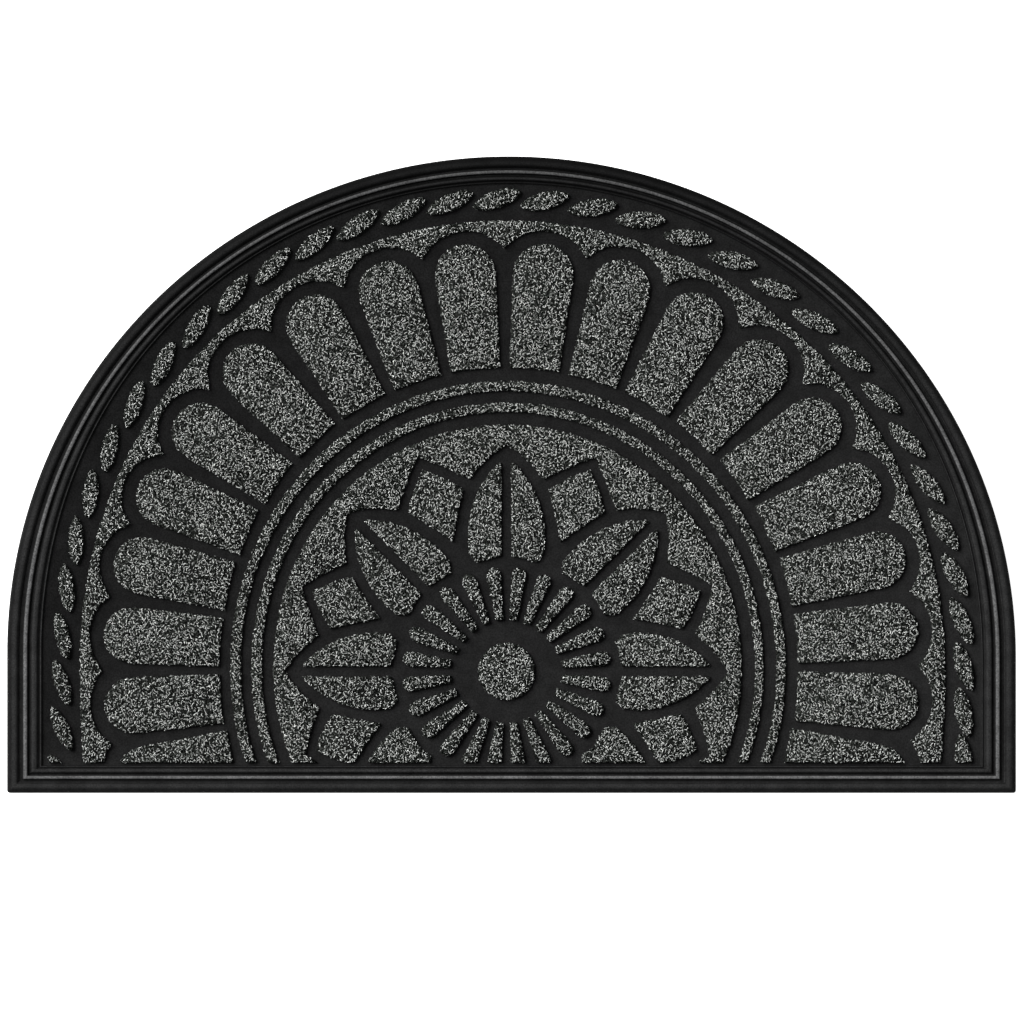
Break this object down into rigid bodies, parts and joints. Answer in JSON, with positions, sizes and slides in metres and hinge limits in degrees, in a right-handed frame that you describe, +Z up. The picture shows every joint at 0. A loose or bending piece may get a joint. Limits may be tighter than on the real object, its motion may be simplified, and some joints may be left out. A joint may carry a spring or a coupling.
{
  "type": "half-round doormat",
  "caption": "Half-round entrance mat: a moulded rubber base with a ribbed frame and raised pads of grey fibre pile in a rosette, an arcade and a leaf border.",
  "frame": {"origin": "under the middle of the mat, on the surface that it rests on", "axes": "+X to the right along the straight front edge, +Y back towards the crown of the arc, +Z up"},
  "size_m": [0.9144, 0.577, 0.008],
  "materials": {
    "rubber": "matt moulded black rubber, one bead of the frame lighter",
    "pile": "short looped and cut fibre pile, light grey and near-black mixed"
  },
  "bodies": {
    "root": {"rubber_base": "rubber", "pile_disc": "pile", "pile_rays": "pile", "pile_petal_01": "pile", "pile_petal_02": "pile", "pile_petal_03": "pile", "pile_petal_04": "pile", "pile_petal_05": "pile", "pile_petal_06": "pile", "pile_petal_07": "pile", "pile_petal_08": "pile", "pile_petal_09": "pile", "pile_petal_10": "pile", "pile_petal_11": "pile", "pile_petal_12": "pile", "pile_kite_1": "pile", "pile_kite_2": "pile", "pile_kite_3": "pile", "pile_kite_4": "pile", "pile_kite_5": "pile", "pile_kite_6": "pile", "pile_field": "pile", "pile_ring_inner": "pile", "pile_ring_outer": "pile", "pile_arch_01": "pile", "pile_arch_02": "pile", "pile_arch_03": "pile", "pile_arch_04": "pile", "pile_arch_05": "pile", "pile_arch_06": "pile", "pile_arch_07": "pile", "pile_arch_08": "pile", "pile_arch_09": "pile", "pile_arch_10": "pile", "pile_arch_11": "pile", "pile_arch_12": "pile", "pile_arch_13": "pile", "pile_arch_14": "pile", "pile_arch_15": "pile", "pile_arch_16": "pile", "pile_arch_17": "pile", "pile_arch_18": "pile", "pile_arch_19": "pile", "pile_arch_20": "pile", "pile_scallop_band": "pile", "pile_leaves": "pile"}
  },
  "joints": []
}
